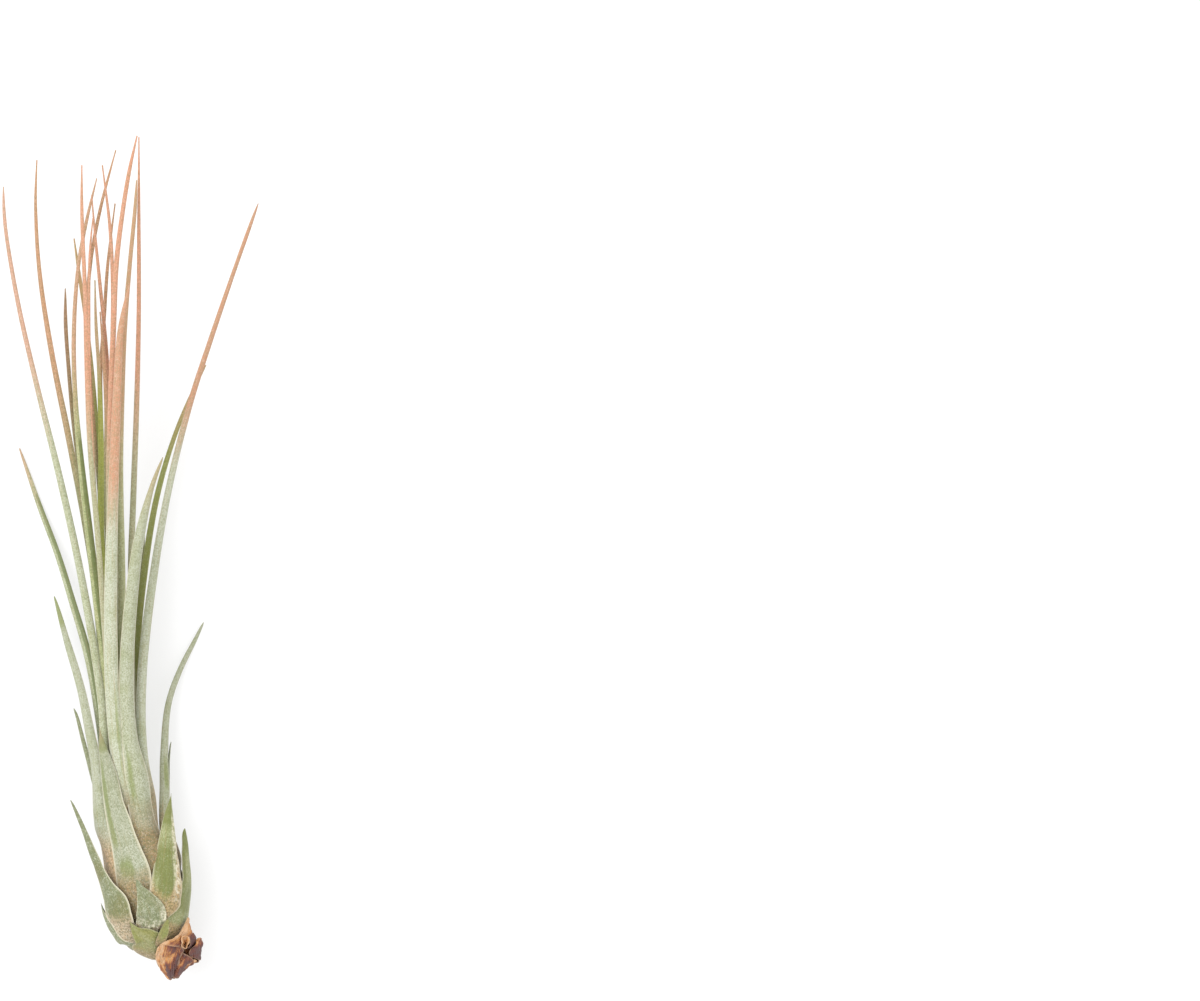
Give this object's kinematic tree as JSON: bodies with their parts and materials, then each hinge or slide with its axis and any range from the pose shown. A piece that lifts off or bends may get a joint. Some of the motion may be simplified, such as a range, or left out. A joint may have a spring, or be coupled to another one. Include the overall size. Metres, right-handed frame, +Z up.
{
  "type": "tillandsia juncea air plant",
  "caption": "Bare-rooted air plant lying on its side: a bulb of short sheathing leaves, a tuft of long rush-like leaves with coral tips and a dry stem end.",
  "frame": {"origin": "the small flat spot under the bulb that the plant rests on", "axes": "+Y along the plant from the bulb to the leaf tips, +Z up from the surface that it lies on, +X to the right as seen from above"},
  "size_m": [0.0749, 0.2494, 0.0557],
  "materials": {
    "silver_leaf": "matte, silver-green with fine pale scurf, coral towards a long leaf's tip",
    "coral_leaf": "matte coral towards the tip, silver-green lower down",
    "olive_leaf": "matte olive with a brownish coral tip",
    "green_leaf": "matte green with fine pale scurf",
    "dry_sheath": "dry, papery, red-brown to tan",
    "stem_bark": "matte, fibrous"
  },
  "bodies": {
    "root": {"stem": "stem_bark", "dry_sheath_front": "dry_sheath", "dry_sheath_tongue": "dry_sheath", "dry_sheath_right": "dry_sheath", "dry_sheath_end": "dry_sheath", "dry_sheath_back": "dry_sheath", "dry_sheath_back_right": "dry_sheath", "basal_leaf_front": "green_leaf", "basal_leaf_lower_front": "green_leaf", "basal_leaf_lower_right": "olive_leaf", "basal_leaf_left": "green_leaf", "basal_leaf_lower_left": "green_leaf", "basal_leaf_right": "green_leaf", "basal_leaf_right_front": "green_leaf", "basal_leaf_back": "green_leaf", "basal_leaf_back_left": "green_leaf", "basal_leaf_back_right": "green_leaf", "short_leaf_front": "silver_leaf", "short_leaf_left": "silver_leaf", "short_leaf_right": "silver_leaf", "short_leaf_behind_left": "green_leaf", "short_leaf_behind_right": "green_leaf", "short_leaf_back_left": "green_leaf", "short_leaf_back_right": "green_leaf", "long_leaf_front": "silver_leaf", "long_leaf_front_right": "silver_leaf", "long_leaf_right": "silver_leaf", "long_leaf_right_dark": "green_leaf", "long_leaf_left_outer": "coral_leaf", "long_leaf_left_low": "silver_leaf", "long_leaf_left_inner": "silver_leaf", "long_leaf_left_brown": "olive_leaf", "long_leaf_middle_brown": "olive_leaf", "long_leaf_back_left": "green_leaf", "long_leaf_back": "green_leaf", "long_leaf_back_right": "green_leaf", "inner_leaf_1": "coral_leaf", "inner_leaf_2": "coral_leaf", "inner_leaf_3": "coral_leaf", "inner_leaf_4": "green_leaf", "inner_leaf_5": "olive_leaf", "inner_leaf_6": "olive_leaf", "inner_leaf_7": "olive_leaf", "inner_leaf_8": "olive_leaf", "inner_leaf_9": "coral_leaf", "inner_leaf_10": "coral_leaf", "inner_leaf_11": "coral_leaf", "inner_leaf_12": "olive_leaf"}
  },
  "joints": []
}
